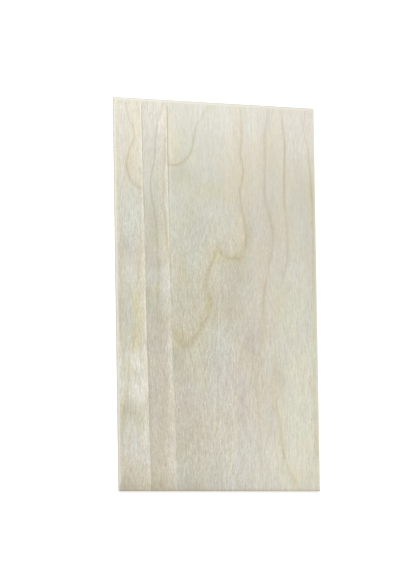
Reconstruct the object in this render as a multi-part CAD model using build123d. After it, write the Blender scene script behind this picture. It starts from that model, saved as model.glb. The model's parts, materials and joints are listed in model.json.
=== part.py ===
"""Small plywood sheet, 3 mm three-ply, lying flat with its better face up.

The three veneers are glued into one board, so the sheet is a single solid. Its far and near ends are
sawn across the face grain, and the core, whose grain runs the other way, sits a hair back from the
faces along every sawn edge. The face veneer was laid in three strips, and each strip's edge rides up
over the next in a low lip, with a fine open crease on its right. The two laps run down the sheet from
just short of the far end, crisp at first and soft further down.

X runs across the sheet, Y along the face grain towards the far end, and Z up. The origin is the middle
of the underside. Sizes are in millimetres.
"""

from build123d import *
import os

# The sheet
sheet_width = 300.0
sheet_length = 440.0
face_ply = 0.7
core_ply = 1.6
back_ply = 0.7
core_setback = 0.12
corner_radius = 0.6
arris = 0.2

# The laps in the face veneer
lip_width = 4.5
crease_width = 0.9
lip_fullness = 0.62
lip_root = 0.3
lap_start = 6.0

# Stations of a lap: share of the way to the near end, distance of the crease from the left edge,
# height of the lip above the face, depth of the crease below it
left_lap = (
    (0.00, 39.6, 0.05, 0.10),
    (0.06, 39.7, 0.13, 0.24),
    (0.22, 40.5, 0.15, 0.22),
    (0.40, 41.6, 0.16, 0.10),
    (0.60, 42.4, 0.22, 0.12),
    (0.76, 43.9, 0.28, 0.14),
    (0.88, 44.6, 0.30, 0.12),
    (1.00, 45.8, 0.24, 0.10),
)
right_lap = (
    (0.00, 76.8, 0.08, 0.16),
    (0.06, 76.8, 0.16, 0.40),
    (0.24, 77.5, 0.18, 0.38),
    (0.42, 78.2, 0.15, 0.26),
    (0.60, 79.4, 0.18, 0.10),
    (0.76, 82.4, 0.26, 0.10),
    (0.88, 83.4, 0.24, 0.10),
    (1.00, 84.0, 0.20, 0.08),
)

# Worked out from the sizes above
core_bottom = back_ply
face_bottom = back_ply + core_ply
face_top = face_bottom + face_ply
left_edge = -sheet_width / 2
far_end = sheet_length / 2
near_end = -sheet_length / 2
overrun = 1.0
arc_sink = 0.05


def ply(bottom, thickness, setback=0.0):
    """One veneer of the board, as a slab whose sawn edges stand back by setback."""
    outline = RectangleRounded(
        sheet_width - 2 * setback,
        sheet_length - 2 * setback,
        corner_radius - setback,
    )
    return Pos(0, 0, bottom) * extrude(outline, thickness)


def laminate():
    """The three glued veneers as one board, with the arrises of both faces eased."""
    face = ply(face_bottom, face_ply)
    face = chamfer(face.faces().sort_by(Axis.Z)[-1].edges(), arris)
    back = ply(0, back_ply)
    back = chamfer(back.faces().sort_by(Axis.Z)[0].edges(), arris)
    core = ply(core_bottom, core_ply, core_setback)
    return face + core + back


def lip_section(crease_x, height, y):
    """The lip's cross section: an arc that rises from the left to its crest over the crease."""
    foot_x = crease_x - lip_width
    crest_x = crease_x + crease_width / 2
    foot = (foot_x, face_top - arc_sink)
    middle = ((foot_x + crest_x) / 2, face_top + lip_fullness * height)
    crest = (crest_x, face_top + height)
    root_z = face_top - lip_root
    outline = ThreePointArc(foot, middle, crest) + Polyline(
        crest, (crest_x, root_z), (foot_x, root_z), foot
    )
    return Plane.XZ.offset(-y) * make_face(outline)


def crease_section(crease_x, depth, y):
    """The crease's cross section: a steep wall under the lip, and a slope up to the next strip."""
    clear_z = face_top + overrun
    outline = Polyline(
        (crease_x, face_top - depth),
        (crease_x + crease_width, face_top),
        (crease_x + crease_width, clear_z),
        (crease_x, clear_z),
        close=True,
    )
    return Plane.XZ.offset(-y) * make_face(outline)


def lap(stations):
    """The lip and the crease cutter of one lap, from its start to beyond the near end."""
    lips = []
    creases = []
    first_y = far_end - lap_start
    last_y = near_end - overrun
    for share, inset, height, depth in stations:
        y = first_y + share * (last_y - first_y)
        crease_x = left_edge + inset
        lips.append(lip_section(crease_x, height, y))
        creases.append(crease_section(crease_x, depth, y))
    return loft(lips, ruled=True), loft(creases, ruled=True)


def plywood_sheet():
    """The whole sheet: the board, its lips trimmed at the near end, and its creases."""
    sheet = laminate()
    room = Pos(0, 0, face_top) * Box(sheet_width, sheet_length - 2 * arris, 2 * face_top)
    for stations in (left_lap, right_lap):
        lip, crease = lap(stations)
        sheet = sheet + (lip & room)
        sheet = sheet - crease
    return sheet


os.makedirs("parts", exist_ok=True)
export_step(plywood_sheet(), "parts/plywood_sheet.step")
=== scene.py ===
"""Looks of the small plywood sheet: its veneered faces with their laps and growth lines, its sawn
edges, the pale floor, the soft light and the camera.

Lengths on the sheet are in millimetres, "across" from its left edge and "down" from its far end, and
become metres in the frame where the meshes are made.
"""

import json
import math
from functools import reduce

import bpy
import numpy as np
from mathutils import Matrix, Vector


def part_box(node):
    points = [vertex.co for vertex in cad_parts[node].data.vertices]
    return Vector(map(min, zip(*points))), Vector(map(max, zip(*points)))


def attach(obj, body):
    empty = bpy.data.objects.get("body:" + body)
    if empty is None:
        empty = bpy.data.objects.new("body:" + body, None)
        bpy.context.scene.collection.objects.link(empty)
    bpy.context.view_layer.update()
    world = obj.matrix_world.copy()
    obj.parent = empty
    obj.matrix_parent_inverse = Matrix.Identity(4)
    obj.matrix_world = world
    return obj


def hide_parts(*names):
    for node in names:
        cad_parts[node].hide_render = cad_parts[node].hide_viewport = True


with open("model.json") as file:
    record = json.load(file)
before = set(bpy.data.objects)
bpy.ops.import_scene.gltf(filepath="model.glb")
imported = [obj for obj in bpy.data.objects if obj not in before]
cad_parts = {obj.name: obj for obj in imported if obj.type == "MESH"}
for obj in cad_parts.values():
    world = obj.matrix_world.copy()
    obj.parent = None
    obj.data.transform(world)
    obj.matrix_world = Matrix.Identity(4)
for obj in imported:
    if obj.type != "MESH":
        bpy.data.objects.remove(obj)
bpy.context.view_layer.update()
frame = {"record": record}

NODE = "plywood_sheet"
MM = 0.001

# The sheet, from the frame
low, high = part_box(NODE)
mounts = {mount["name"]: mount for mount in frame["record"]["mounts"]}
WIDTH = (high.x - low.x) / MM
LENGTH = (high.y - low.y) / MM
THICKNESS = mounts["better_face"]["pos_m"][2] / MM
HIGHEST = (high.z - low.z) / MM
FAR_Y = high.y / MM
NEAR_Y = low.y / MM

# Its plies and edges, in millimetres
FACE_PLY = 0.7
BACK_PLY = 0.7
CORE_SETBACK = 0.12
CORNER_RADIUS = 0.6
ARRIS = 0.2

# The laps in the face veneer: where the crease runs at stations down the sheet, the height of the lip
# on its left and its own depth
LIP_WIDTH = 4.5
LIP_FULLNESS = 0.62
CREASE_WIDTH = 0.9
LAP_START = 6.0
LAP_FADE_IN = 1.5
LEFT_LAP = (
    (6, 39.6, 0.05, 0.1), (32, 39.7, 0.13, 0.24), (102, 40.5, 0.15, 0.22), (180, 41.6, 0.16, 0.1),
    (267, 42.4, 0.22, 0.12), (337, 43.9, 0.28, 0.14), (389, 44.6, 0.29, 0.12), (441, 45.8, 0.24, 0.1),
)
RIGHT_LAP = (
    (6, 76.8, 0.08, 0.16), (32, 76.8, 0.16, 0.4), (110, 77.5, 0.18, 0.38), (189, 78.2, 0.15, 0.26),
    (267, 79.4, 0.18, 0.1), (337, 82.4, 0.26, 0.1), (389, 83.4, 0.24, 0.1), (441, 84, 0.2, 0.08),
)

# How the laps are marked: down the sheet, how pale the lip is made, partly rubbed wood and partly a
# painted highlight, and over what width, and how dark the crease is made, partly dirt and partly painted
# shade, and how wide that spreads
LEFT_LAP_MARKS = (
    (6, 1.7, 2.8, 1.3, 1.8), (55, 2.1, 2.8, 1.3, 1.6), (95, 2.2, 2.9, 1.2, 1.2), (140, 0.6, 4.5, 0.2, 5),
    (190, 0.5, 4, 0.25, 6), (230, 1, 5, 0.35, 5), (300, 0.4, 8, 0.6, 4), (380, 0.35, 9, 0.45, 5),
    (441, 0.3, 9, 0.4, 5),
)
RIGHT_LAP_MARKS = (
    (6, 1.7, 3, 1.75, 2), (95, 1.2, 3, 1.3, 2), (150, 1.1, 3.2, 0.55, 2), (190, 0.5, 8, 0.5, 2),
    (230, 0.5, 9, 0.35, 2), (267, 0.25, 9, 0.2, 2.5), (300, 0.25, 9, 0.15, 3), (345, 0.1, 9, 0.2, 3),
    (389, 0, 9, 0.15, 4), (441, 0, 9, 0.1, 4),
)

# The veneer's gentle waves, and its bulges along the left lap as (down, height)
WAVE_HEIGHT = 0.03
BULGES = ((290, 0.16), (325, 0.18), (362, 0.08), (398, 0.10))
BULGE_ACROSS = 33.0
BULGE_WIDTH = 7.0
BULGE_LENGTH = 11.0

# Growth lines of each strip: a ring number, how soft and how warm the line is (0 to 1), and its points
# as (across, down, boldness)
LEFT_LINES = (
    (1, 0.35, 0.4, (
        (16, 0, 0.3), (17.5, 10, 0.5), (21, 22, 0.6), (26, 31, 0.7), (29, 38, 0.7), (27.5, 46, 0.6),
    )),
    (1, 0.55, 0.7, (
        (22.5, 57, 0.75), (18, 68, 0.9), (17.3, 80, 1), (20.5, 89, 0.9), (27.5, 96.5, 0.8),
        (34.5, 100.5, 0.8), (42, 102, 0.7),
    )),
    (1, 0.9, 0.8, (
        (42, 142, 0.1), (39, 150, 0.2), (36, 162, 0.2), (33, 180, 0.2), (31, 198, 0.3), (29, 214, 0.25),
        (28, 238, 0.15), (26, 256, 0.2), (23, 270, 0.5), (21, 281, 0.5), (19, 296, 0),
    )),
    (0, 0.8, 0.6, (
        (5, 100, 0.2), (7, 130, 0.35), (8, 160, 0.3), (7, 192, 0.4), (4, 228, 0.3), (5, 262, 0.4),
        (9, 298, 0.4), (12, 322, 0.4), (10, 346, 0.5), (6, 366, 0.4), (3, 386, 0.2),
    )),
)
MIDDLE_LINES = (
    (0, 0.2, 0.2, ((49, 2, 0.5), (46, 8, 0.6), (43, 14, 0.5), (40, 22, 0.3))),
    (1, 0.25, 0, (
        (73, 0, 0.5), (70, 9, 0.6), (66.5, 18, 0.7), (62.5, 30, 0.8), (60, 42, 0.9), (59, 57, 0.9),
        (57.5, 70, 0.9), (54, 82, 0.9), (51.8, 95, 0.8), (53, 111, 0.8), (55.5, 121, 0.7),
    )),
    (1, 0.55, 0.5, (
        (57.5, 132, 0.7), (59, 145, 0.7), (59.5, 158, 0.7), (60.5, 172, 0.8), (61.7, 187, 0.8),
        (62.3, 198, 0.5),
    )),
    (1, 0.9, 0.8, (
        (61, 211, 0.4), (60, 222, 0.4), (59, 248, 0.2), (62, 270, 0.15), (67, 292, 0.15), (69, 316, 0.15),
        (66, 340, 0.15), (63, 370, 0.1), (62, 400, 0.1), (62, 430, 0.1),
    )),
    (2, 0.3, 0.5, (
        (78, 14, 0.2), (75.5, 30, 0.5), (73.5, 46, 0.7), (73, 62, 0.7), (72, 78, 0.5), (70.7, 96, 0.5),
        (70.8, 111, 0.5),
    )),
    (2, 0.3, 0.9, (
        (71.8, 126, 0.6), (73.3, 141, 0.6), (74.5, 156, 0.7), (76, 170, 0.7), (78.5, 182, 0.3),
    )),
)
MAIN_LINES = (
    (3, 0.5, 0.9, (
        (139, 0, 0.3), (136, 7, 0.4), (129, 18, 0.5), (121, 27, 0.6), (117.7, 37, 0.7), (115.5, 47, 0.8),
        (112, 57, 0.9), (105, 66, 0.9), (97, 71, 0.9), (88, 73.3, 1), (79, 73, 1), (70, 71, 0.8),
    )),
    (2, 0.75, 0.5, (
        (186.5, 0, 0.5), (187.5, 8, 0.6), (188.5, 20, 0.7), (189.3, 34, 0.7), (187.3, 47, 0.7),
    )),
    (2, 0.4, 0.6, (
        (186, 59, 0.7), (189.4, 69, 0.8), (190.8, 77, 0.8), (188.2, 88, 0.8), (185.2, 98, 0.8),
    )),
    (2, 0.7, 0.9, (
        (185.6, 111, 0.7), (188.2, 123, 0.7), (191.2, 133, 0.8), (193, 144, 0.9), (193.2, 156, 0.9),
    )),
    (2, 1, 1, (
        (190.5, 167, 0.95), (185.5, 175, 0.95), (177, 176, 0.95), (168, 175.5, 0.9), (161, 175, 0.9),
        (156, 171, 0.85), (151, 163.5, 0.9), (148, 168.5, 0.85), (144.5, 175, 0.85), (139.5, 183, 0.85),
        (136, 193, 0.8), (132, 204, 0.8), (132, 214, 0.7), (138, 224, 0.8),
    )),
    (2, 0.9, 1, ((136.5, 232, 0.75), (132, 243, 0.8), (126.5, 252, 0.8))),
    (2, 0.65, 0.9, (
        (121, 259, 0.7), (113, 267, 0.75), (103.5, 276.5, 0.7), (95, 275, 0.7), (89, 266, 0.7),
        (84.5, 258, 0.6), (80.5, 250, 0.35),
    )),
    (1, 0.75, 0.4, (
        (233, 0, 0.45), (231, 6, 0.5), (227.6, 17, 0.6), (225.2, 28, 0.65), (224.6, 46, 0.65),
        (223.5, 64, 0.75), (222.8, 84, 0.75), (222.4, 100, 0.75), (224.6, 112, 0.65), (229, 123, 0.6),
        (232, 135, 0.7), (233.8, 147, 0.6), (233.3, 160, 0.6), (230, 174, 0.6), (226.5, 185, 0.5),
    )),
    (1, 0.25, 0.9, ((223, 196, 0.5), (220, 210, 0.8), (218.6, 223, 0.6))),
    (1, 0.9, 1, (
        (217, 242, 0.2), (214.5, 262, 0.2), (210.5, 284, 0.2), (206.5, 305, 0.25), (205.5, 325, 0.25),
        (208, 346, 0.25), (208.8, 366, 0.2), (208.2, 386, 0.2), (210, 405, 0.2), (213.8, 424, 0.2),
        (217, 441, 0.2),
    )),
    (0, 0.6, 0.4, (
        (251, 0, 0.5), (250.7, 8, 0.6), (250.6, 17, 0.9), (252.2, 28, 1.05), (253.6, 42, 1.05),
        (253.7, 56, 1.05), (253, 73, 1), (252.4, 92, 0.9), (252.4, 109, 0.8), (253.7, 123, 0.6),
        (255.6, 140, 0.6), (256.4, 157, 0.6), (255.5, 174, 0.7), (252.5, 186, 0.6), (249.2, 197, 0.3),
    )),
    (0, 0.9, 1, (
        (246, 209, 0.15), (242, 226, 0.15), (238.5, 245, 0.15), (236, 266, 0.15), (235, 290, 0.2),
        (232.5, 318, 0.35), (234, 338, 0.4), (237, 352, 0.35), (239.5, 364, 0.45), (241.5, 377, 0.5),
        (243.4, 388, 0.75), (245.4, 400, 0.85), (248.5, 408, 0.5), (251.8, 414, 0.65), (256.6, 422, 0.6),
        (263, 430, 0.5), (271, 440, 0.2),
    )),
    (-1, 0.4, 0.1, ((286.5, 0, 0.3), (285.7, 9, 0.4), (283.4, 21, 0.5), (284.8, 31, 0.5), (288, 39, 0.6))),
    (-1, 0.5, 0.8, (
        (290.2, 50, 0.6), (291.6, 62, 0.65), (293, 77, 0.7), (294.2, 95, 0.7), (294.9, 112, 0.65),
        (295.4, 132, 0.55), (295.5, 151, 0.45),
    )),
    (-1, 0.8, 0.9, (
        (295.3, 168, 0.4), (295, 186, 0.3), (294.5, 212, 0.2), (293.5, 240, 0.15), (292.5, 270, 0.1),
        (291.5, 300, 0.1), (291.5, 325, 0.2), (292.3, 345, 0.4), (293.5, 362, 0.5), (295.5, 380, 0.45),
        (298.5, 398, 0.35), (302, 415, 0.2),
    )),
)

# Places between the lines, as (across, down, ring), that keep stray lines out of the plain areas
LEFT_PLAIN = (
    (2, 20, 0.45), (2, 60, 0.4), (36, 30, 1.25), (32, 78, 1.35), (38, 220, 1.35), (37, 255, 1.4),
    (20, 122, 0.62), (36, 124, 0.72), (30, 330, 0.62), (36, 380, 0.7), (30, 430, 0.6), (10, 430, 0.3),
)
MIDDLE_PLAIN = (
    (42, 60, 0.45), (42, 110, 0.5), (43, 160, 0.35), (44, 220, 0.3), (45, 300, 0.3), (46, 400, 0.4),
    (76, 230, 1.6), (77, 300, 1.4), (80, 400, 1.5),
)
MAIN_PLAIN = (
    (80, 8, 3.75), (100, 6, 3.6), (84, 40, 3.5), (150, 90, 2.5), (110, 120, 2.6), (84, 160, 2.55),
    (110, 200, 2.35), (84, 230, 2.2), (165, 130, 2.25), (165, 210, 1.75), (160, 250, 1.68),
    (84, 310, 1.72), (84, 430, 1.5), (130, 310, 1.6), (130, 430, 1.38), (170, 300, 1.45),
    (151.5, 156, 2.16), (160, 165, 2.12), (142, 165, 2.12), (151.5, 172, 1.88), (152, 182, 1.84),
    (170, 430, 1.22), (190, 340, 1.22),
)

# Nearest and farthest that one ring counts as being from the next, in millimetres
RING_SPACINGS = (4.0, 80.0)

# How coarse the grain shows, from 0 to 1 or more, down each strip: (down, on its left, on its right)
LEFT_GRAIN = ((0, 0.3, 0.3), (95, 0.5, 0.5), (120, 0.85, 0.85), (441, 0.9, 0.9))
MIDDLE_GRAIN = ((0, 0.35, 0.35), (70, 0.45, 0.45), (250, 0.9, 0.9), (441, 1.3, 1.3))
MAIN_GRAIN = ((0, 0, 0), (85, 0.1, 0), (130, 0.7, 0.1), (260, 1.1, 0.45), (441, 1.15, 0.2))
GRAIN_TURN = (130.0, 260.0)
BACK_GRAIN = 0.5

# Colours of the wood and the glue, and of the painted highlight along the arris, as red, green and blue
# from 0 to 255
CREAM = (211.5, 207.2, 190.8)
GREY = (209.6, 207.2, 192.8)
TAN = (211.6, 206.2, 188.8)
ARRIS_HIGHLIGHT = (234, 231, 216)
LONG_FIBRES = ((220, 214, 197), (236, 232, 219))
CUT_FIBRES = ((198, 189, 170), (228, 222, 207))
GLUE = (150, 134, 110)

# What marks on the veneer multiply its colour by: a growth line's band and thread, cool and warm, and
# its flecks, the fibres' hues, the laps' lips (rubbed pale wood and a painted highlight) and their creases
# (dirt and painted shade), painted shade along the near end's arris and painted shade along the far end's
# arris
COOL_BAND = (0.975, 0.955, 0.945, 1.0)
WARM_BAND = (0.95, 0.92, 0.86, 1.0)
COOL_THREAD = (0.77, 0.765, 0.765, 1.0)
WARM_THREAD = (0.78, 0.74, 0.68, 1.0)
FLECKS = (0.86, 0.83, 0.76, 1.0)
ROSY = (1.0, 0.982, 0.985, 1.0)
GREENISH = (0.988, 1.0, 0.988, 1.0)
RUBBED_AND_HIGHLIGHT = (1.125, 1.125, 1.12, 1.0)
DIRT_AND_SHADE = (0.65, 0.63, 0.58, 1.0)
NEAR_ARRIS_SHADE = (0.72, 0.70, 0.66, 1.0)
FAR_END_SHADE = (0.70, 0.69, 0.67, 1.0)

# Depth of the bump, in metres, and strength of the sheen
VENEER_BUMP = 0.00006
VENEER_SHEEN = 0.35
EDGE_BUMP = 0.00008
EDGE_SHEEN = 0.25

# Tints of the veneer, as what they multiply the wood's colour by at full strength
TINTS = {
    "warm": (1.02, 0.995, 0.945),
    "peach": (1.03, 0.985, 0.94),
    "olive": (0.985, 0.97, 0.86),
    "cool": (0.955, 0.985, 1),
    "blue": (0.96, 0.975, 1.02),
    "green": (0.955, 0.985, 0.965),
    "pink": (1, 0.965, 0.97),
    # Pale wood, and in some patches painted light
    "pale": (1.1, 1.1, 1.13),
    "lilac": (0.975, 0.96, 0.995),
    "dark": (0.9, 0.89, 0.88),
    "moss": (0.96, 0.985, 0.925),
    # Painted shade along the near end
    "near_end_shade": (0.84, 0.825, 0.79),
}

# Soft patches, by tint: (across, down, half its width, half its length, strength). Each stays in the
# strip that its middle is in. Some of the pale ones are painted light, and the dark ones along the near
# end are painted shade.
PATCHES = {
    "warm": (
        (30, 24, 9, 24, 0.9), (29, 78, 9, 18, 0.5), (12, 304, 8, 14, 1), (35, 378, 3, 12, 1),
        (70, 150, 5, 22, 0.6), (258, 424, 34, 16, 0.6), (95, 64, 17, 7, 0.5), (172, 80, 18, 18, 0.6),
        (100, 196, 14, 12, 0.5), (172, 152, 18, 12, 1), (188, 140, 6, 26, 1), (168, 238, 28, 12, 1.2),
        (191, 305, 10, 26, 0.7), (207, 45, 9, 26, 0.4), (252, 80, 10, 60, 0.4), (288, 90, 8, 24, 1.3),
        (228, 60, 5, 60, 0.3), (242, 140, 12, 26, 0.9), (150, 375, 28, 16, 0.4), (243, 330, 10, 46, 0.6),
        (228, 412, 12, 16, 0.6), (295.5, 190, 2.5, 60, 1), (276, 350, 26, 70, 0.25),
        (270, 380, 30, 50, 0.3),
    ),
    "peach": (
        (29, 78, 9, 18, 0.45), (37, 180, 4, 26, 1), (30, 420, 14, 18, 0.8), (10, 424, 12, 12, 0.7),
        (58, 252, 18, 14, 0.2), (60, 385, 24, 80, 0.7), (72, 305, 8, 26, 0.4), (182, 30, 7, 26, 0.25),
        (212, 205, 9, 26, 0.5), (206, 300, 10, 26, 0.7), (206, 345, 6, 40, 0.5), (240, 238, 4, 24, 0.6),
    ),
    "olive": (
        (34, 222, 6, 24, 0.8), (29, 226, 4, 18, 0.5), (30, 250, 8, 24, 0.5), (25, 270, 7, 12, 1),
        (5.5, 357, 1.8, 15, 1.2), (8, 362, 7, 14, 0.4), (26.5, 357, 1.8, 14, 0.6), (7.5, 433, 2.5, 8, 0.7),
        (40.5, 428, 2.5, 8, 0.5), (74.5, 150, 2, 18, 1), (57, 216, 6, 7, 1.1), (67, 251, 4, 8, 0.9),
        (98, 46, 17, 18, 0.35), (150, 102, 22, 8, 0.9), (147, 172, 7, 8, 0.7), (172, 176, 22, 9, 1),
        (184, 88, 9, 12, 0.6), (190, 160, 8, 10, 0.5), (137, 200, 6, 22, 0.7), (140, 228, 7, 14, 0.6),
        (122, 258, 12, 12, 0.5), (92, 272, 15, 11, 0.9), (84, 262, 6, 10, 0.5), (122, 300, 10, 20, 0.7),
        (92, 298, 16, 14, 0.5), (237, 335, 4, 30, 0.4), (246, 386, 4, 14, 0.6), (260, 427, 7, 8, 0.6),
        (217, 240, 5, 40, 0.5), (294, 385, 5, 14, 0.3),
    ),
    "cool": (
        (30, 165, 25, 20, 0.35), (19, 130, 19, 24, 1.3), (32, 292, 12, 9, 0.2), (60, 165, 20, 20, 0.35),
        (53, 324, 6, 11, 0.6), (90, 165, 12, 20, 0.35), (132, 48, 18, 34, 0.8),
    ),
    "blue": (
        (20, 201, 9, 11, 0.9), (32, 323, 12, 12, 0.2), (18, 386, 13, 16, 0.6), (54, 201, 6, 6, 0.9),
        (52, 280, 6, 9, 0.9), (53, 324, 6, 11, 1.2), (52, 402, 5, 8, 0.9), (116, 126, 20, 22, 0.5),
        (238, 78, 7, 14, 0.6), (275, 110, 10, 44, 0.4), (134, 50, 18, 26, 0.5), (272, 28, 14, 24, 0.7),
        (240, 172, 8, 20, 0.9), (285, 180, 14, 26, 0.4), (150, 296, 20, 22, 0.6), (150, 330, 22, 18, 0.6),
        (192, 400, 12, 18, 0.4), (100, 335, 24, 12, 0.5), (160, 432, 30, 14, 0.7), (268, 198, 10, 22, 0.5),
    ),
    "green": (
        (14, 244, 10, 30, 0.6), (52, 104, 10, 20, 0.5), (56, 150, 9, 34, 0.6), (54, 234, 7, 10, 0.8),
        (112, 126, 28, 34, 0.9), (98, 305, 18, 14, 0.7), (137, 272, 12, 28, 0.7), (92, 402, 12, 34, 0.6),
    ),
    "pink": (
        (64, 305, 6, 18, 0.4), (69, 320, 3, 10, 0.3), (228, 150, 8, 40, 0.5), (218, 60, 5, 50, 0.5),
        (205, 250, 14, 24, 0.6), (192, 355, 14, 40, 0.6), (108, 350, 24, 44, 0.6), (232, 340, 6, 18, 0.8),
        (222, 250, 8, 60, 0.5), (210, 190, 7, 20, 0.5),
    ),
    # Pale wood, and painted light: the broad ones along the far end are painted light, those over the
    # bulges by the left lap a painted sheen, and those along the laps part of their painted highlight
    "pale": (
        (20, 4, 40, 34, 1.5), (36, 46, 6, 16, 0.5), (14, 58, 18, 22, 0.4), (22, 132, 22, 20, 0.25),
        (20, 201, 8, 10, 0.5), (31, 292, 12, 9, 1.45), (33, 324, 12, 12, 1.7), (12, 316, 14, 26, 0.7),
        (24, 384, 9, 14, 0.45), (38, 380, 4, 40, 0.9), (37, 240, 5, 38, 0.5), (37, 300, 4, 22, 0.5),
        (60, 4, 30, 34, 1.4), (70, 30, 8, 18, 0.6), (71, 205, 7, 12, 0.9), (73, 262, 5, 26, 0.5),
        (77, 330, 3.5, 50, 0.6), (76.5, 318, 1.6, 20, 0.5), (78, 400, 5, 50, 0.6), (190, -4, 140, 50, 1.7),
        (285, 52, 16, 20, 0.9), (276, 12, 26, 26, 0.5), (165, 300, 22, 16, 0.2), (190, 360, 12, 22, 0.4),
        (175, 410, 36, 26, 0.2), (275, 335, 34, 84, 1.6), (245, 415, 54, 44, 1.1), (170, 330, 14, 12, 0.5),
        (268, 205, 22, 34, 0.5), (80.8, 55, 1.5, 30, 0.5), (80.8, 120, 1.5, 60, 0.5),
    ),
    "lilac": (
        (8, 46, 14, 34, 0.25), (19, 170, 17, 12, 0.5), (10, 286, 10, 5, 0.8), (39, 404, 4, 12, 0.8),
        (50, 50, 8, 44, 0.4), (50, 138, 10, 14, 0.5), (51, 182, 9, 14, 0.8), (71, 205, 7, 12, 0.9),
        (68, 280, 4, 9, 0.7), (96, 12, 20, 12, 0.3), (207, 118, 10, 34, 0.5), (150, 300, 20, 24, 0.8),
        (197, 274, 8, 16, 0.6), (183, 330, 5, 34, 1.1), (98, 350, 20, 34, 0.2), (226, 365, 6, 20, 0.9),
        (271, 268, 9, 14, 0.7),
    ),
    "dark": (
        (16, 170, 18, 14, 0.8), (12, 244, 10, 30, 1.1), (34, 308, 10, 4, 0.4), (15, 303, 1.6, 9, 0.9),
        (17, 354, 18, 10, 0.8), (16, 347, 7, 6, 0.8), (10, 424, 18, 12, 1), (50, 140, 10, 24, 1.2),
        (51, 182, 9, 14, 1), (66, 125, 5, 20, 0.6), (46, 222, 5, 14, 1.3), (60, 252, 18, 24, 0.9),
        (58, 330, 20, 110, 1.1), (94, 84, 20, 11, 0.8), (104, 150, 30, 40, 0.5), (100, 222, 26, 34, 0.9),
        (170, 128, 44, 40, 0.14), (225, 150, 24, 26, 0.2), (180, 225, 40, 60, 0.12),
        (285, 92, 16, 26, 0.25), (178, 190, 16, 12, 0.9), (198, 152, 4, 20, 1), (158, 232, 20, 18, 0.8),
        (172, 216, 16, 26, 0.9), (94, 286, 18, 8, 0.7), (86, 302, 7, 16, 0.9), (230, 130, 10, 30, 0.3),
        (198, 276, 10, 18, 0.9), (184, 336, 6, 14, 0.7), (96, 330, 18, 60, 0.7), (104, 400, 30, 36, 0.6),
        (240, 312, 8, 12, 0.8),
    ),
    "moss": (
        (8, 14, 10, 26, 0.4), (30, 24, 9, 24, 0.5), (12, 318, 14, 22, 0.6), (37, 361, 8, 10, 0.8),
        (54, 154, 8, 7, 1), (54, 426, 8, 7, 0.9), (98, 46, 17, 18, 0.4), (98, 86, 14, 8, 0.8),
        (104, 220, 26, 30, 1), (237, 38, 8, 22, 0.5), (274, 370, 30, 60, 0.3), (285, 240, 14, 90, 0.6),
        (262, 360, 34, 60, 0.5), (252, 230, 14, 24, 0.9),
    ),
    # Painted shade: darker along the near end
    "near_end_shade": (
        (20, 438, 40, 7, 1.2), (52, 438, 45, 8, 1.15), (105, 437, 26, 8, 0.8), (190, 440, 100, 3, 0.6),
    ),
}

# Specks: (across, down, radius, colour as red, green and blue from 0 to 255)
SPECKS = (
    (166, 342, 1.3, (238, 236, 228)),
    (259.5, 38.7, 1.0, (170, 161, 142)),
    (48, 302, 0.9, (160, 142, 104)),
    (17, 268, 1.1, (232, 226, 208)),
)

# How close together the vertices stand
EDGE_STEPS = np.array([0.0, 0.06, 0.2, 0.6, 1.6])
LAP_STEPS = np.array([
    -4.5, -3.8, -3.0, -2.2, -1.5, -0.9, -0.45, -0.15, -0.02, 0.02, 0.15, 0.35, 0.6, 0.9, 1.4, 2.0, 2.8, 3.8
])
END_STEPS = np.append(EDGE_STEPS, [3.2, 4.8, 6.0, 6.6, 7.5])
NARROW_COLUMNS = 15
WIDE_COLUMNS = 90
ROW_SPACING = 2.5

# Rings of vertices round the sawn edges, from the face down: their height, and their share of the
# core's setback. They stray by the sawn roughness, and by the same share of the core's roughness.
WALL_RINGS = (
    (2.56, 0), (2.33, 0), (2.30, 1 / 3), (2.27, 1), (2.05, 1), (1.80, 1), (1.50, 1),
    (1.20, 1), (0.95, 1), (0.73, 1), (0.70, 1 / 3), (0.67, 0), (0.44, 0),
)
SAWN_ROUGHNESS = 0.02
CORE_ROUGHNESS = 0.03

# Edges bent more than this many degrees are shaded sharp
SHARP_ANGLE = 38.0

# Camera, light and floor: in metres, with the roll in degrees and the lens in millimetres
CAMERA_PLACE = (-4.255, -0.338, 4.873)
CAMERA_TARGET = (-0.0273, 0.0125, 0.003)
CAMERA_ROLL = -0.89
CAMERA_LENS = 361.7
CAMERA_SENSOR = 36.0
KEY_PLACE = (-1.15, 1.05, 1.35)
KEY_SIZE = 0.9
KEY_POWER = 27.0
SKY_STRENGTH = 0.6
FLOOR_SIZE = 12.0
FLOOR_DROP = 0.0001
FLOOR_GREY = (0.8, 0.8, 0.8, 1.0)
FLOOR_LIFT = 0.5


def srgb(red, green, blue):
    """A colour given from 0 to 255 as a screen shows it, as linear red, green, blue and alpha."""
    values = [value / 255 for value in (red, green, blue)]
    linear = [v / 12.92 if v <= 0.04045 else ((v + 0.055) / 1.055) ** 2.4 for v in values]
    return (*linear, 1.0)


def smooth_points(points, spacing):
    """A line's points and more between them, about spacing apart, on a smooth curve through them."""
    given = np.array(points, float)
    padded = np.vstack([2 * given[0] - given[1], given, 2 * given[-1] - given[-2]])
    made = []
    for before, start, end, after in zip(padded, padded[1:], padded[2:], padded[3:]):
        count = max(1, round(math.hypot(*(end - start)[:2]) / spacing))
        for share in np.arange(count) / count:
            made.append(0.5 * (
                2 * start
                + (end - before) * share
                + (2 * before - 5 * start + 4 * end - after) * share**2
                + (3 * start - before - 3 * end + after) * share**3
            ))
    made.append(given[-1])
    return np.array(made)


def in_blocks(function, places):
    """What function gives for an array of places, worked out a block at a time to save memory."""
    block = 20000
    return np.concatenate([function(places[i:i + block]) for i in range(0, len(places), block)])


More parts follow.
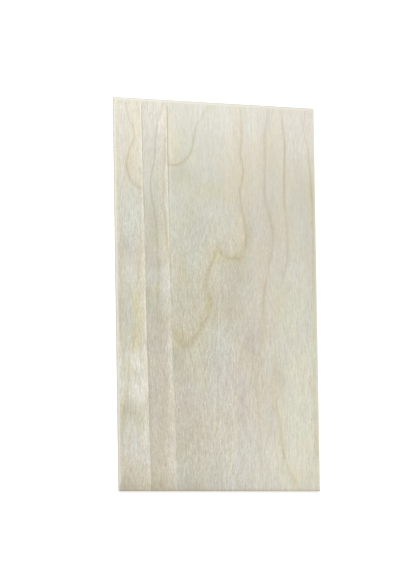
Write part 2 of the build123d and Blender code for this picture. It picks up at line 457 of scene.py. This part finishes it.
class RingField:
    """The growth rings of one strip: a smooth surface over the sheet that takes each line's ring number
    along that line, so that the lines are where it crosses whole numbers. Places are in millimetres."""

    unit = 100.0
    stiffness = 1e-5
    knot_spacing = 7.0
    drawn_spacing = 10.0
    blur = 3.0

    def __init__(self, lines, plain):
        known = [
            (across, down, ring)
            for ring, _, _, points in lines
            for across, down, _ in smooth_points(points, self.knot_spacing)
        ]
        known = np.array(known + list(plain), float)
        self.knots = known[:, :2] / self.unit
        count = len(known)
        system = np.zeros((count + 3, count + 3))
        system[:count, :count] = self.bend(self.knots) + np.eye(count) * self.stiffness
        system[:count, count] = system[count, :count] = 1
        system[:count, count + 1:] = self.knots
        system[count + 1:, :count] = self.knots.T
        self.weights = np.linalg.solve(system, np.append(known[:, 2], np.zeros(3)))
        self.drawn = np.array([
            (across, down, bold, soft, warm)
            for _, soft, warm, points in lines
            for across, down, bold in smooth_points(points, self.drawn_spacing)
        ])

    def bend(self, places):
        """How a thin plate bends at places when it is pushed at the knots."""
        apart = ((places[:, None] - self.knots[None]) ** 2).sum(-1)
        return apart * np.log(apart + 1e-9)

    def rings(self, places):
        """The ring number at each place."""
        count = len(self.knots)

        def surface(block):
            scaled = block / self.unit
            level = self.bend(scaled) @ self.weights[:count] + self.weights[count]
            return level + scaled @ self.weights[count + 1:]

        return in_blocks(surface, places)

    def slopes(self, places):
        """How fast the ring number changes per millimetre, across and down."""
        reach = 0.5
        across = self.rings(places + (reach, 0)) - self.rings(places - (reach, 0))
        down = self.rings(places + (0, reach)) - self.rings(places - (0, reach))
        return across / (2 * reach), down / (2 * reach)

    def looks(self, places):
        """How bold, soft and warm the lines are at each place, from the nearest points of the lines."""

        def blend(block):
            apart = ((block[:, None] - self.drawn[None, :, :2]) ** 2).sum(-1)
            weight = 1 / (apart + self.blur**2) ** 2
            return weight @ self.drawn[:, 2:] / weight.sum(1, keepdims=True)

        return in_blocks(blend, places)


def ease(value, start, end):
    """0 up to start, 1 from end, and a smooth step between."""
    share = np.clip((value - start) / (end - start), 0, 1)
    return share * share * (3 - 2 * share)


def stations_at(table, down):
    """The columns of a table of stations, after its first, at places down the sheet."""
    stations = np.array(table, float)
    return [np.interp(down, stations[:, 0], column) for column in stations[:, 1:].T]


def strip_at(across, down):
    """Which strip of the better face a place is in: 0 the left, 1 the middle or 2 the wide one."""
    left = stations_at(LEFT_LAP, down)[0]
    right = stations_at(RIGHT_LAP, down)[0]
    return (across >= left).astype(int) + (across >= right)


def edge_distance(across, down):
    """Millimetres in from the nearest sawn edge."""
    return np.minimum(np.minimum(across, WIDTH - across), np.minimum(down, LENGTH - down))


def arris_drop(inset):
    """How far the eased arris lies below the face, at a distance in from the edge."""
    short = np.clip(ARRIS - inset, 0, ARRIS)
    return ARRIS - np.sqrt(ARRIS**2 - short**2)


def lap_relief(across, down):
    """Height that the two laps add to the face."""
    relief = np.zeros(np.shape(across))
    begun = ease(down, LAP_START, LAP_START + LAP_FADE_IN)
    for lap in (LEFT_LAP, RIGHT_LAP):
        crease, lip, depth = stations_at(lap, down)
        beyond = across - crease
        rise = np.clip((beyond + LIP_WIDTH) / (LIP_WIDTH + CREASE_WIDTH / 2), 0, 1)
        arc = (4 * LIP_FULLNESS - 1) * rise + (2 - 4 * LIP_FULLNESS) * rise**2
        relief += np.where(beyond < 0, begun * lip * arc, 0)
        fall = np.clip(1 - beyond / CREASE_WIDTH, 0, 1)
        relief -= np.where(beyond > 0, begun * depth * fall, 0)
    return relief


def swell(across, down):
    """Height that the veneer's gentle waves and bulges add to the face."""
    waves = np.sin(across / 19 + np.sin(down / 61)) + np.sin(down / 37 + across / 83)
    waves *= WAVE_HEIGHT
    aside = (across - BULGE_ACROSS) / BULGE_WIDTH
    for bulge_down, height in BULGES:
        waves += height * np.exp(-aside**2 - ((down - bulge_down) / BULGE_LENGTH) ** 2)
    return waves * ease(edge_distance(across, down), 0.5, 8.0)


def lap_tone(across, down):
    """Above 0 where the lip is made pale, partly rubbed wood and partly a painted highlight, and below 0
    where the crease is made dark, partly dirt and partly painted shade.
    """
    tone = np.zeros(np.shape(across))
    begun = ease(down, LAP_START, LAP_START + LAP_FADE_IN)
    for lap, marking in ((LEFT_LAP, LEFT_LAP_MARKS), (RIGHT_LAP, RIGHT_LAP_MARKS)):
        beyond = across - stations_at(lap, down)[0]
        pale, pale_width, dark, dark_width = stations_at(marking, down)
        rise = ease(beyond, -pale_width, -0.25 * pale_width)
        tone += np.where(beyond < 0, begun * pale * rise, 0)
        fall = 1 - ease(beyond, 0.5 * dark_width, dark_width)
        tone -= np.where(beyond > 0, begun * dark * fall, 0)
    return tone


def patch_colours(across, down):
    """What the soft patches multiply the wood's colour by, some of them painted light and shade. Their
    outlines waver, those of the smaller ones less."""
    steady_width = 12
    steady_length = 20
    sway = 3.0 * np.sin(down / 9.0 + 1.3) + 2.0 * np.sin(across / 6.0 + down / 14.0)
    sag = 5.0 * np.sin(across / 7.0) + 3.0 * np.sin(across / 3.1 + 0.7)
    strips = strip_at(across, down)
    colour = np.ones((*np.shape(across), 3))
    for tint, places in PATCHES.items():
        change = np.array(TINTS[tint]) - 1
        for patch_across, patch_down, half_width, half_length, strength in places:
            aside = across + sway * min(1, half_width / steady_width) - patch_across
            along = down + sag * min(1, half_length / steady_length) - patch_down
            apart = (aside / half_width) ** 2 + (along / half_length) ** 2
            inside = strips == strip_at(patch_across, patch_down)
            amount = strength * np.exp(-apart * math.log(2)) * inside
            colour *= 1 + amount[..., None] * change
    return colour


def coarseness(across, down):
    """How coarse the grain shows at each place of the better face."""
    share = ease(across, *GRAIN_TURN)
    coarse = []
    for table in (LEFT_GRAIN, MIDDLE_GRAIN, MAIN_GRAIN):
        start, end = stations_at(table, down)
        coarse.append(start + share * (end - start))
    return np.choose(strip_at(across, down), coarse)


def columns(down):
    """Where the vertices of one row stand across the sheet, close together at the edges and laps."""
    left = stations_at(LEFT_LAP, down)[0]
    right = stations_at(RIGHT_LAP, down)[0]
    first = LAP_STEPS[0]
    last = LAP_STEPS[-1]
    return np.concatenate([
        EDGE_STEPS,
        np.linspace(EDGE_STEPS[-1], left + first, NARROW_COLUMNS)[1:-1],
        left + LAP_STEPS,
        np.linspace(left + last, right + first, NARROW_COLUMNS)[1:-1],
        right + LAP_STEPS,
        np.linspace(right + last, WIDTH - EDGE_STEPS[-1], WIDE_COLUMNS)[1:-1],
        WIDTH - EDGE_STEPS[::-1],
    ])


def out_of_middle(across, down):
    """The nearest place a corner's radius or more in from every edge, and the way out from it."""
    middle = np.stack([
        np.clip(across, CORNER_RADIUS, WIDTH - CORNER_RADIUS),
        np.clip(down, CORNER_RADIUS, LENGTH - CORNER_RADIUS),
    ])
    return middle, np.stack([across, down]) - middle


def rounded(across, down):
    """The same places with the sheet's square corners pulled in to their radius."""
    middle, out = out_of_middle(across, down)
    radial = np.hypot(*out)
    pull = np.where(radial > 0, np.abs(out).max(0) / np.where(radial > 0, radial, 1), 1)
    return middle + out * pull


def inward(across, down):
    """The direction into the sheet, square to its outline, at places on the outline."""
    _, out = out_of_middle(across, down)
    return (-out / np.hypot(*out)).T


def fixed_noise(seed, *shape):
    """Random numbers from -1 to 1, the same on each run."""
    return np.random.default_rng(seed).uniform(-1, 1, shape)


def grid_faces(grid):
    """The quads of a grid of vertices, given as the vertices' numbers."""
    return np.stack([grid[:-1, :-1], grid[1:, :-1], grid[1:, 1:], grid[:-1, 1:]], -1).reshape(-1, 4)


def outline(grid):
    """The numbers of a grid's outline vertices, once round."""
    return np.concatenate([grid[0], grid[1:, -1], grid[-1, -2::-1], grid[-2:0:-1, 0]])


def face_figure(across, down):
    """The better face's ring number, millimetres from ring to ring, how bold, soft and warm the lines
    are, and how squarely they cross the fibres, each from the strip that the place is in."""
    places = np.stack([across.ravel(), down.ravel()], -1)
    strips = strip_at(*places.T)
    closest, farthest = RING_SPACINGS
    figure = np.zeros((len(places), 6))
    tables = ((LEFT_LINES, LEFT_PLAIN), (MIDDLE_LINES, MIDDLE_PLAIN), (MAIN_LINES, MAIN_PLAIN))
    for strip, (lines, plain) in enumerate(tables):
        field = RingField(lines, plain)
        chosen = places[strips == strip]
        slope_across, slope_down = field.slopes(chosen)
        steepness = np.clip(np.hypot(slope_across, slope_down), 1 / farthest, 1 / closest)
        slant = np.clip(np.abs(slope_down) / steepness, 0, 1)
        figure[strips == strip] = np.column_stack([
            field.rings(chosen), 1 / steepness, field.looks(chosen), slant
        ])
    return figure


def back_figure(across, down):
    """The same for the back, a plain veneer with long straight lines."""
    spacing = 34.0
    soft = 0.4
    warm = 0.5
    slant = 0.1
    drift = 9 * np.sin(down / 140 + 0.6) + 4 * np.sin(down / 47 + across / 60)
    bold = 0.35 + 0.2 * np.sin(across / 41 + down / 170)
    figure = np.tile((0, spacing, 0, soft, warm, slant), (across.size, 1))
    figure[:, 0] = ((across + drift) / spacing).ravel()
    figure[:, 2] = bold.ravel()
    return figure


def to_frame(across, down, height):
    """Places on the sheet as points in the frame, in metres."""
    return np.stack([
        low.x + across.ravel() * MM,
        high.y - down.ravel() * MM,
        low.z + height.ravel() * MM,
    ], -1)


def wall_points(rim_across, rim_down, into):
    """The rings of vertices round the sawn edges, from the outline and the directions into the sheet."""
    rings = []
    for number, (height, share) in enumerate(WALL_RINGS):
        rough = SAWN_ROUGHNESS + share * CORE_ROUGHNESS
        back = np.clip(share * CORE_SETBACK + rough * fixed_noise(number, len(into)), 0, None)
        rings.append(to_frame(
            rim_across + into[:, 0] * back,
            rim_down + into[:, 1] * back,
            np.full(len(into), height),
        ))
    return rings


def sheet_faces(front, back):
    """The quads of the better face, of the sawn edges and of the back, from grids of the two faces'
    vertex numbers. The vertices of the sawn edges are numbered between them."""
    rim = outline(front)
    levels = [rim, *np.arange(front.size, back[0, 0]).reshape(-1, len(rim)), outline(back)]
    walls = [
        np.stack([above, np.roll(above, -1), np.roll(below, -1), below], -1)
        for above, below in zip(levels, levels[1:])
    ]
    return [grid_faces(front), np.vstack(walls), grid_faces(back)[:, ::-1]]


def write_looks(mesh, across, down, wall_count):
    """Keeps what the veneer material needs to know of each vertex as attributes of the mesh: the better
    face's vertices come first, then the sawn edges' and then the back's."""
    inset = edge_distance(across, down).ravel()
    walls = np.zeros(wall_count)
    others = np.zeros(wall_count + across.size)
    figure = np.vstack([face_figure(across, down), np.zeros((wall_count, 6)), back_figure(across, down)])
    numbers = dict(zip(("ring", "spacing", "bold", "soft", "warm", "slant"), figure.T))
    numbers["coarse"] = np.append(coarseness(across, down), others + BACK_GRAIN)
    numbers["lap"] = np.append(lap_tone(across, down), others)
    numbers["rim"] = np.concatenate([inset, walls, inset])
    numbers["better"] = np.append(np.ones(across.size), others)
    for name, values in numbers.items():
        attribute = mesh.attributes.new(name, "FLOAT", "POINT")
        attribute.data.foreach_set("value", values.astype(np.float32))
    patches = np.append(patch_colours(across, down), np.ones(3 * len(others)))
    attribute = mesh.attributes.new("patches", "FLOAT_VECTOR", "POINT")
    attribute.data.foreach_set("vector", patches.astype(np.float32))


def sheet_mesh():
    """The sheet as one closed mesh: better face, sawn edges and back."""
    middle_rows = np.arange(END_STEPS[-1], LENGTH - EDGE_STEPS[-1], ROW_SPACING)[1:]
    downs = np.concatenate([END_STEPS, middle_rows, LENGTH - EDGE_STEPS[::-1]])
    across = np.stack([columns(down) for down in downs])
    down = np.broadcast_to(downs[:, None], across.shape)
    front = np.arange(across.size).reshape(across.shape)
    outermost = outline(front)
    wall_count = len(WALL_RINGS) * len(outermost)
    placed = rounded(across, down)
    rim = [values.ravel()[outermost] for values in placed]
    into = inward(*rim)
    drop = arris_drop(edge_distance(across, down))
    top = np.minimum(THICKNESS + lap_relief(across, down) + swell(across, down), HIGHEST) - drop
    points = [to_frame(*placed, top), *wall_points(*rim, into), to_frame(*placed, drop)]
    faces = sheet_faces(front, front + front.size + wall_count)
    mesh = bpy.data.meshes.new("sheet")
    mesh.from_pydata(np.vstack(points).tolist(), [], np.vstack(faces).tolist())
    mesh.update()

    # The material of each quad: 0 on both faces, 1 on the long edges and 2 on the ends
    at_end = np.abs(into[:, 1]) > np.abs(into[:, 0])
    at_end &= np.roll(at_end, -1)
    slots = [np.zeros(len(quads), np.int32) for quads in faces]
    slots[1] += np.tile(np.where(at_end, 2, 1), len(WALL_RINGS) + 1).astype(np.int32)
    mesh.polygons.foreach_set("material_index", np.concatenate(slots))
    mesh.polygons.foreach_set("use_smooth", np.ones(len(mesh.polygons), bool))
    mesh.set_sharp_from_angle(angle=math.radians(SHARP_ANGLE))
    write_looks(mesh, across, down, wall_count)
    return mesh


class Shader:
    """The nodes of a material or of the world, written as expressions: numbers and sockets go in, and a
    socket comes out."""

    def __init__(self, owner, output="OutputMaterial"):
        self.owner = owner
        self.owner.use_nodes = True
        self.tree = owner.node_tree
        self.tree.nodes.clear()
        self.output = output

    def node(self, kind, inputs=(), **settings):
        """The outputs of a new shader node with those settings. Its inputs, given in order or by name,
        are set to numbers or linked to sockets."""
        made = self.tree.nodes.new("ShaderNode" + kind)
        for name, value in settings.items():
            setattr(made, name, value)
        named = inputs if isinstance(inputs, dict) else dict(enumerate(inputs))
        for name, value in named.items():
            if isinstance(value, bpy.types.NodeSocket):
                self.tree.links.new(value, made.inputs[name])
            else:
                made.inputs[name].default_value = value
        return made.outputs

    def maths(self, operation, *values):
        return self.node("Math", values, operation=operation)[0]

    def add(self, *values):
        return reduce(lambda total, value: self.maths("ADD", total, value), values)

    def times(self, *values):
        return reduce(lambda total, value: self.maths("MULTIPLY", total, value), values)

    def step(self, value, start, end, first=0.0, last=1.0):
        """A smooth step: first up to start, and last from end."""
        values = (value, start, end, first, last)
        return self.node("MapRange", values, interpolation_type="SMOOTHSTEP")[0]

    def line(self, value, start, end, first=0.0, last=1.0):
        """A straight ramp: first up to start, and last from end."""
        values = (value, start, end, first, last)
        return self.node("MapRange", values, interpolation_type="LINEAR")[0]

    def between(self, share, none, full):
        """From none where the share is 0 to full where it is 1."""
        return self.line(share, 0.0, 1.0, none, full)

    def around(self, noise, amount):
        """A noise from 0 to 1 shifted to lie half below 0, times an amount."""
        return self.times(self.add(noise, -0.5), amount)

    def vectors(self, operation, first, second):
        made = self.node("VectorMath", (first, second), operation=operation)
        return made["Value" if operation == "DISTANCE" else "Vector"]

    def join(self, x, y, z):
        return self.node("CombineXYZ", (x, y, z))[0]

    def split(self, vector):
        return self.node("SeparateXYZ", (vector,))

    def place(self):
        """Where a point of the object is, in millimetres."""
        return self.vectors("DIVIDE", self.node("TexCoord")["Object"], (MM, MM, MM))

    def marks(self, name, output="Fac"):
        """A named attribute of the mesh."""
        return self.node("Attribute", attribute_name=name)[output]

    def noise(self, place, size, detail=1.0, roughness=0.5):
        """Cloudy noise from 0 to 1, with lumps of about size millimetres along X, Y and Z."""
        scaled = self.vectors("DIVIDE", place, size)
        inputs = {"Vector": scaled, "Scale": 1.0, "Detail": detail, "Roughness": roughness}
        return self.node("TexNoise", inputs)["Fac"]

    def mix(self, share, first, second, blend="MIX"):
        inputs = {0: share, 6: first, 7: second}
        return self.node("Mix", inputs, data_type="RGBA", blend_type=blend)[2]

    def shade(self, colour, amount):
        """The colour times a number."""
        return self.vectors("MULTIPLY", colour, self.join(amount, amount, amount))

    def tint(self, share, colour, factor):
        """The colour, multiplied by a factor where the share is 1 and left alone where it is 0."""
        return self.mix(share, colour, factor, "MULTIPLY")

    def seen_directly(self):
        """1 for rays from the camera, and for those that gloss or glass pass on."""
        path = self.node("LightPath")
        seen = self.maths("MAXIMUM", path["Is Camera Ray"], path["Is Glossy Ray"])
        return self.maths("MAXIMUM", seen, path["Is Transmission Ray"])

    def show(self, surface):
        """Links a surface to the output, and gives back the material or the world."""
        self.node(self.output, {"Surface": surface})
        return self.owner

    def finish(self, colour, roughness, height, distance, specular):
        """The material, showing a surface with that colour, roughness, bump and sheen."""
        bump = self.node("Bump", {"Strength": 1.0, "Distance": distance, "Height": height})[0]
        return self.show(self.node("BsdfPrincipled", {
            "Base Color": colour,
            "Roughness": roughness,
            "Specular IOR Level": specular,
            "Normal": bump,
        })[0])


def wood_colour(s, place, medium):
    """The veneer's colour, with its patches, some of them painted light and shade, frayed along the
    fibres.
    """
    cloud = s.noise(place, (38, 75, 40))
    other_cloud = s.noise(s.vectors("ADD", place, (700, 300, 90)), (30, 60, 40))
    colour = s.mix(s.step(cloud, 0.36, 0.62), srgb(*CREAM), srgb(*GREY))
    colour = s.mix(s.step(other_cloud, 0.46, 0.7, 0, 0.8), colour, srgb(*TAN))
    change = s.vectors("SUBTRACT", s.marks("patches", "Vector"), (1, 1, 1))
    change = s.shade(change, s.line(medium, 0.3, 0.7, 0.7, 1.3))
    return s.vectors("MULTIPLY", colour, s.vectors("ADD", change, (1, 1, 1)))


def growth_lines(s, colour, y, along, fine, medium):
    """The colour with the growth lines on it, and how dark their threads are. A line is a dark thread in
    a wider tan band. A soft line has a wide faint thread, and where it crosses the fibres it breaks
    into teeth and flecks."""
    ring = s.marks("ring")
    soft = s.marks("soft")
    warm = s.marks("warm")
    bold = s.times(s.marks("bold"), s.step(y, FAR_Y - 3, FAR_Y - 7, 0.3, 1))
    crossing = s.line(s.marks("slant"), 0.15, 0.75)

    # Millimetres from the line, which wavers with the fibres
    apart = s.times(s.maths("SUBTRACT", ring, s.maths("ROUND", ring)), s.marks("spacing"))
    teeth = s.add(
        s.between(soft, 0.35, s.between(crossing, 1.4, 0.8)),
        s.times(crossing, s.line(soft, 0.2, 1, 0.3, 1.3)),
    )
    offset = s.add(apart, s.times(s.add(s.around(fine, 3), s.around(medium, 4)), teeth))

    # How far the fibres break the thread, and where along it there are beads
    fibres = s.line(s.add(fine, s.times(medium, 0.7)), 0.68, 1.02, 0.2, 1.6)
    breaks = s.maths("MAXIMUM", s.times(soft, crossing), s.step(soft, 0.7, 1, 0, 0.9))
    broken = s.mix(breaks, s.line(fibres, 0.2, 1.6, 0.75, 1.2), fibres)
    beads = s.line(s.noise(along, (5, 6, 5)), 0.35, 0.65, 0.2, 1.8)
    beads = s.between(s.step(soft, 0.6, 0.95), 1, beads)
    width = s.add(1.15, s.times(soft, s.between(crossing, 3, 0.9)))
    core = s.step(s.maths("DIVIDE", s.maths("ABSOLUTE", offset), width), 1, 0)
    thread = s.times(core, bold, broken, beads, s.between(soft, 0.85, 0.44))

    # The band reaches further on the line's right than on its left
    reach = s.maths(
        "MAXIMUM",
        s.maths("DIVIDE", offset, s.between(soft, 3.5, 8)),
        s.maths("DIVIDE", offset, s.between(soft, -2.5, -5.5)),
    )
    band = s.times(s.step(reach, 1, 0), bold, s.line(fibres, 0.2, 1.6, 0.7, 1.25))
    fleck = s.step(s.noise(along, (0.9, 4, 3)), 0.54, 0.68)
    fleck = s.times(fleck, s.step(reach, 0.9, 0), bold, soft, s.between(crossing, 0.35, 1))
    colour = s.tint(band, colour, s.mix(warm, COOL_BAND, WARM_BAND))
    colour = s.tint(thread, colour, s.mix(warm, COOL_THREAD, WARM_THREAD))
    return s.tint(fleck, colour, FLECKS), thread


def fibre_hues(s, colour, along):
    """The colour, rosier, greener or bluer from one bundle of fibres to the next."""
    hue = s.noise(s.vectors("ADD", along, (90, 40, 0)), (3.5, 30, 9))
    rosy = s.tint(1, colour, ROSY)
    greenish = s.tint(1, colour, GREENISH)
    colour = s.mix(s.step(hue, 0.5, 0.72, 0, 0.45), colour, rosy)
    colour = s.mix(s.step(hue, 0.5, 0.28, 0, 0.45), colour, greenish)
    bluer = s.noise(s.vectors("ADD", along, (30, 70, 20)), (4, 34, 9))
    return s.vectors("MULTIPLY", colour, s.join(1, 1, s.line(bluer, 0.2, 0.8, 0.965, 1.035)))


def laps_and_rim(s, colour, y, medium):
    """The colour with the laps' pale lips, partly rubbed wood and partly a painted highlight, and their
    dark creases, partly dirt and partly painted shade, painted shade along the near end's arris, a painted
    highlight along the rim elsewhere and painted shade along the far end's arris."""
    lap = s.marks("lap")
    rim = s.marks("rim")
    marking = s.line(medium, 0.3, 0.7, 0.8, 1.2)
    # The lips: rubbed pale wood and a painted highlight; the creases: dirt and painted shade
    colour = s.tint(s.times(s.maths("MAXIMUM", lap, 0), marking), colour, RUBBED_AND_HIGHLIGHT)
    colour = s.tint(s.times(s.maths("MAXIMUM", s.times(lap, -1), 0), marking, 0.6), colour, DIRT_AND_SHADE)
    # Painted shade along the near end's arris
    near_arris_shade = s.step(s.add(y, s.around(medium, 1.5)), NEAR_Y + 2.4, NEAR_Y + 0.8, 0, 0.6)
    colour = s.tint(near_arris_shade, colour, NEAR_ARRIS_SHADE)
    # A painted highlight along the rim, wider and stronger at the far end, and none at the near end
    far_end = s.step(y, FAR_Y - 8, FAR_Y - 5)
    inset = s.add(rim, s.around(medium, 1.2))
    arris_highlight = s.mix(far_end, s.step(inset, 2.6, 0.9, 0, 0.5), s.step(inset, 3.4, 2.2, 0, 0.85))
    arris_highlight = s.times(arris_highlight, s.step(y, NEAR_Y + 3, NEAR_Y + 12))
    colour = s.mix(arris_highlight, colour, srgb(*ARRIS_HIGHLIGHT))
    # Painted shade along the far end's arris
    return s.tint(s.times(far_end, s.step(rim, 1.2, 0.7, 0, 0.6)), colour, FAR_END_SHADE)


def veneer_material():
    """Pale rotary-cut veneer, its fibres along Y, with the growth lines, patches and laps."""
    s = Shader(bpy.data.materials.new("veneer"))
    place = s.place()
    x, y, z = s.split(place)

    # Fibres wander a little sideways
    wander = s.noise(place, (45, 110, 50))
    along = s.join(s.add(x, s.around(wander, 6)), y, z)
    hair = s.noise(along, (0.35, 7, 5), detail=0)
    grain = s.noise(along, (1.3, 2.8, 5))
    fine = s.noise(along, (1, 7, 5))
    medium = s.noise(along, (2.4, 15, 9), detail=2, roughness=0.6)
    broad = s.noise(along, (7, 80, 20), detail=2)

    colour = wood_colour(s, place, medium)
    colour, thread = growth_lines(s, colour, y, along, fine, medium)

    # Light and dark fibres, a little bluer where they are light, and pores as short faint dashes
    coarse = s.marks("coarse")
    streak = s.add(*(
        s.around(noise, s.between(coarse, calm, strong))
        for noise, calm, strong in (
            (hair, 0.06, 0.22), (grain, 0.13, 0.36), (fine, 0.2, 0.54), (medium, 0.12, 0.36),
            (broad, 0.06, 0.12),
        )
    ))
    red, green, blue = (s.add(s.times(streak, share), 1) for share in (0.91, 1, 1.24))
    colour = fibre_hues(s, s.vectors("MULTIPLY", colour, s.join(red, green, blue)), along)
    dashes = s.noise(along, (0.5, 4.5, 2.5), detail=0)
    pores = s.step(dashes, 0.66, 0.78, 0, s.between(coarse, 0.06, 0.15))
    colour = s.shade(colour, s.maths("SUBTRACT", 1, pores))
    colour = laps_and_rim(s, colour, y, medium)

    for across, down, radius, speck_colour in SPECKS:
        apart = s.vectors("DISTANCE", place, (low.x / MM + across, FAR_Y - down, THICKNESS))
        inside = s.times(s.step(apart, radius, 0.35 * radius), s.marks("better"))
        colour = s.mix(inside, colour, srgb(*speck_colour))

    roughness = s.line(s.add(fine, s.times(pores, -1)), 0.2, 0.8, 0.56, 0.70)
    depths = ((fine, 0.6), (grain, 0.3), (hair, 0.4), (medium, 0.5), (pores, -2), (thread, -0.25))
    height = s.add(*(s.times(mark, depth) for mark, depth in depths))
    return s.finish(colour, roughness, height, VENEER_BUMP, VENEER_SHEEN)


def edge_material(name, is_long):
    """A sawn edge of the three plies: a long edge shows the faces' grain along it and the core's end
    grain, and an end the other way round."""
    s = Shader(bpy.data.materials.new(name))

    def edge_noise(out, along, high, **settings):
        """Noise with lumps of that size out of the edge, along it and up it."""
        size = (out, along, high) if is_long else (along, out, high)
        return s.noise(s.place(), size, **settings)

    fibre = edge_noise(1, 16, 0.16, detail=2)
    tubes = edge_noise(0.4, 0.22, 0.30, detail=2, roughness=0.65)
    saw_marks = edge_noise(4, 0.7, 2)
    z = s.split(s.place())[2]
    blur = 0.02
    glue_reach = 0.07
    core_top = THICKNESS - FACE_PLY
    above_back = s.step(z, BACK_PLY - blur, BACK_PLY + blur)
    core = s.times(above_back, s.step(z, core_top + blur, core_top - blur))
    seams = [s.maths("ABSOLUTE", s.add(z, -seam)) for seam in (BACK_PLY, core_top)]
    glue = s.maths("MAXIMUM", *(s.step(apart, glue_reach, blur) for apart in seams))

    long_fibres = s.mix(s.step(fibre, 0.3, 0.7), *(srgb(*colour) for colour in LONG_FIBRES))
    cut_fibres = s.mix(s.step(tubes, 0.32, 0.66), *(srgb(*colour) for colour in CUT_FIBRES))
    faces_and_core = (long_fibres, cut_fibres) if is_long else (cut_fibres, long_fibres)
    colour = s.mix(core, *faces_and_core)
    colour = s.mix(s.times(glue, 0.5), colour, srgb(*GLUE))
    colour = s.shade(colour, s.line(saw_marks, 0.3, 0.7, 0.90, 1.08))
    pitted = s.times(tubes, core if is_long else 1)
    height = s.add(pitted, s.times(saw_marks, 0.8), s.times(fibre, 0.5))
    roughness = s.line(tubes, 0.2, 0.8, 0.70, 0.88)
    return s.finish(colour, roughness, height, EDGE_BUMP, EDGE_SHEEN)


def add_object(name, data):
    """A new object with that data, in the scene."""
    made = bpy.data.objects.new(name, data)
    bpy.context.scene.collection.objects.link(made)
    return made


def floor_material():
    """White floor: it takes the sheet's shadow, and what the camera sees of it in the light is white."""
    s = Shader(bpy.data.materials.new("floor"))
    grey = s.node("BsdfDiffuse", {"Color": FLOOR_GREY})[0]
    lift = s.node("Emission", {"Strength": s.times(s.seen_directly(), FLOOR_LIFT)})[0]
    return s.show(s.node("AddShader", (grey, lift))[0])


def make_floor():
    """A large flat floor just under the sheet."""
    half = FLOOR_SIZE / 2
    corners = [(x * half, y * half, low.z - FLOOR_DROP) for x, y in ((-1, -1), (1, -1), (1, 1), (-1, 1))]
    mesh = bpy.data.meshes.new("floor")
    mesh.from_pydata(corners, [], [(0, 1, 2, 3)])
    mesh.materials.append(floor_material())
    floor = add_object("floor", mesh)


def make_world():
    """An even pale sky that lights softly and looks white."""
    s = Shader(bpy.data.worlds.new("sky"), "OutputWorld")
    strength = s.between(s.seen_directly(), SKY_STRENGTH, 1.0)
    sky = s.node("Background", {"Color": (1.0, 1.0, 1.0, 1.0), "Strength": strength})[0]
    bpy.context.scene.world = s.show(sky)


def make_key_light():
    """A soft square lamp beyond the far end, on the left, aimed at the sheet."""
    lamp = bpy.data.lights.new("key", "AREA")
    lamp.shape = "SQUARE"
    lamp.size = KEY_SIZE
    lamp.energy = KEY_POWER
    light = add_object("key", lamp)
    light.location = KEY_PLACE
    light.rotation_mode = "QUATERNION"
    light.rotation_quaternion = (-Vector(KEY_PLACE)).to_track_quat("-Z", "Y")


def make_camera():
    """A long lens that looks down on the sheet from the left, with +Y up in the picture."""
    data = bpy.data.cameras.new("camera")
    data.lens = CAMERA_LENS
    data.sensor_width = CAMERA_SENSOR
    camera = add_object("camera", data)
    ahead = (Vector(CAMERA_TARGET) - Vector(CAMERA_PLACE)).normalized()
    right = ahead.cross(Vector((0, 1, 0))).normalized()
    axes = Matrix((right, right.cross(ahead), -ahead)).transposed()
    turn = Matrix.Rotation(math.radians(CAMERA_ROLL), 3, -ahead)
    camera.matrix_world = Matrix.Translation(CAMERA_PLACE) @ (turn @ axes).to_4x4()
    bpy.context.scene.camera = camera


def make_sheet():
    """The dressed sheet, which stands for the CAD node."""
    mesh = sheet_mesh()
    mesh.materials.append(veneer_material())
    mesh.materials.append(edge_material("long_edge", is_long=True))
    mesh.materials.append(edge_material("end_edge", is_long=False))
    sheet = add_object("sheet", mesh)
    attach(sheet, "root")
    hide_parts(NODE)


make_camera()
make_sheet()
make_floor()
make_world()
make_key_light()
bpy.context.scene.view_settings.view_transform = "Standard"
